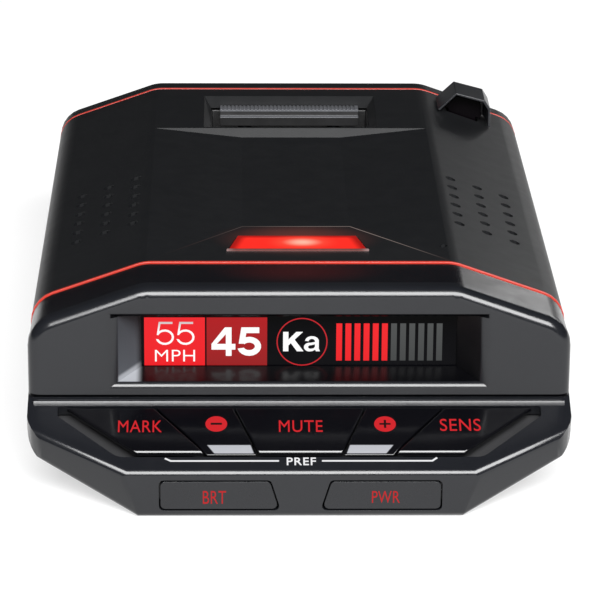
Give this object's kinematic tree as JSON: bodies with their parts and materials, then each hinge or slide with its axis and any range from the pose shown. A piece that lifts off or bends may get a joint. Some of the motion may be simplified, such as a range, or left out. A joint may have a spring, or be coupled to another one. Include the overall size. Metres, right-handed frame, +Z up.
{
  "type": "radar detector",
  "caption": "Dashboard radar detector: flat eight-sided housing, recessed display, sloped key shelf, two chin buttons, alert lamp, vents and a bracket pocket on top.",
  "frame": {"origin": "centre of the flat underside", "axes": "+X to the right seen from the display side, +Y from the display towards the windscreen, +Z up"},
  "size_m": [0.083, 0.138, 0.034],
  "materials": {
    "shell_plastic": "satin",
    "gloss_black": "gloss",
    "bezel_plastic": "satin",
    "trim_red": "satin",
    "red_filter": "gloss",
    "lamp_red": "gloss",
    "display_glass": "gloss",
    "key_plastic": "gloss",
    "silicone": "matte",
    "circuit_board": "satin",
    "bar_plastic": "satin",
    "bare_metal": "satin",
    "cast_metal": "satin",
    "part_black": "satin",
    "ceramic": "satin"
  },
  "bodies": {
    "housing": {"alert_lamp_leds": "ceramic", "alert_lamp_lens": "lamp_red", "bottom_case": "shell_plastic", "button_board": "circuit_board", "case_screw_1": "bare_metal", "case_screw_2": "bare_metal", "case_screw_3": "bare_metal", "case_screw_4": "bare_metal", "display_window": "display_glass", "dome_mark": "bare_metal", "dome_minus": "bare_metal", "dome_mute": "bare_metal", "dome_plus": "bare_metal", "dome_sens": "bare_metal", "earphone_jack": "part_black", "front_bezel": "bezel_plastic", "front_collar": "gloss_black", "front_pinstripe": "trim_red", "gps_antenna": "ceramic", "key_board": "circuit_board", "key_mat": "silicone", "laser_hood": "gloss_black", "laser_hood_lens": "red_filter", "laser_sensor_front": "part_black", "laser_sensor_rear": "part_black", "main_board": "circuit_board", "mount_pocket": "part_black", "oled_display": "part_black", "power_jack": "part_black", "radar_antenna": "cast_metal", "rear_bezel": "shell_plastic", "rear_pinstripe": "trim_red", "rear_window": "red_filter", "release_spring_left": "bare_metal", "release_spring_right": "bare_metal", "shield_can": "bare_metal", "speaker": "part_black", "switch_brt": "bare_metal", "switch_pwr": "bare_metal", "top_case": "shell_plastic", "usb_jack": "bare_metal"},
    "mark_key": {"key_mark": "key_plastic"},
    "minus_key": {"key_minus": "key_plastic"},
    "mute_key": {"key_mute": "key_plastic"},
    "plus_key": {"key_plus": "key_plastic"},
    "sens_key": {"key_sens": "key_plastic"},
    "brt_button": {"button_brt": "bezel_plastic"},
    "pwr_button": {"button_pwr": "bezel_plastic"},
    "release_bar": {"mount_release_bar": "bar_plastic"}
  },
  "joints": [
    {"name": "mark_press", "type": "slide", "parent": "housing", "child": "mark_key", "axis": [0, 0.3843, -0.9232], "range_m": [0, 0.0005], "stiffness_N_per_m": 3000, "springref_m": -0.0002},
    {"name": "minus_press", "type": "slide", "parent": "housing", "child": "minus_key", "axis": [0, 0.3843, -0.9232], "range_m": [0, 0.0005], "stiffness_N_per_m": 3000, "springref_m": -0.0002},
    {"name": "mute_press", "type": "slide", "parent": "housing", "child": "mute_key", "axis": [0, 0.3843, -0.9232], "range_m": [0, 0.0005], "stiffness_N_per_m": 3000, "springref_m": -0.0002},
    {"name": "plus_press", "type": "slide", "parent": "housing", "child": "plus_key", "axis": [0, 0.3843, -0.9232], "range_m": [0, 0.0005], "stiffness_N_per_m": 3000, "springref_m": -0.0002},
    {"name": "sens_press", "type": "slide", "parent": "housing", "child": "sens_key", "axis": [0, 0.3843, -0.9232], "range_m": [0, 0.0005], "stiffness_N_per_m": 3000, "springref_m": -0.0002},
    {"name": "brt_press", "type": "slide", "parent": "housing", "child": "brt_button", "axis": [0, 1, 0], "range_m": [0, 0.0005], "stiffness_N_per_m": 3000, "springref_m": -0.0002},
    {"name": "pwr_press", "type": "slide", "parent": "housing", "child": "pwr_button", "axis": [0, 1, 0], "range_m": [0, 0.0005], "stiffness_N_per_m": 3000, "springref_m": -0.0002},
    {"name": "release_press", "type": "slide", "parent": "housing", "child": "release_bar", "axis": [0, 0, -1], "range_m": [0, 0.001], "stiffness_N_per_m": 1500, "springref_m": -0.0005, "deforming": ["release_spring_left", "release_spring_right"]}
  ]
}
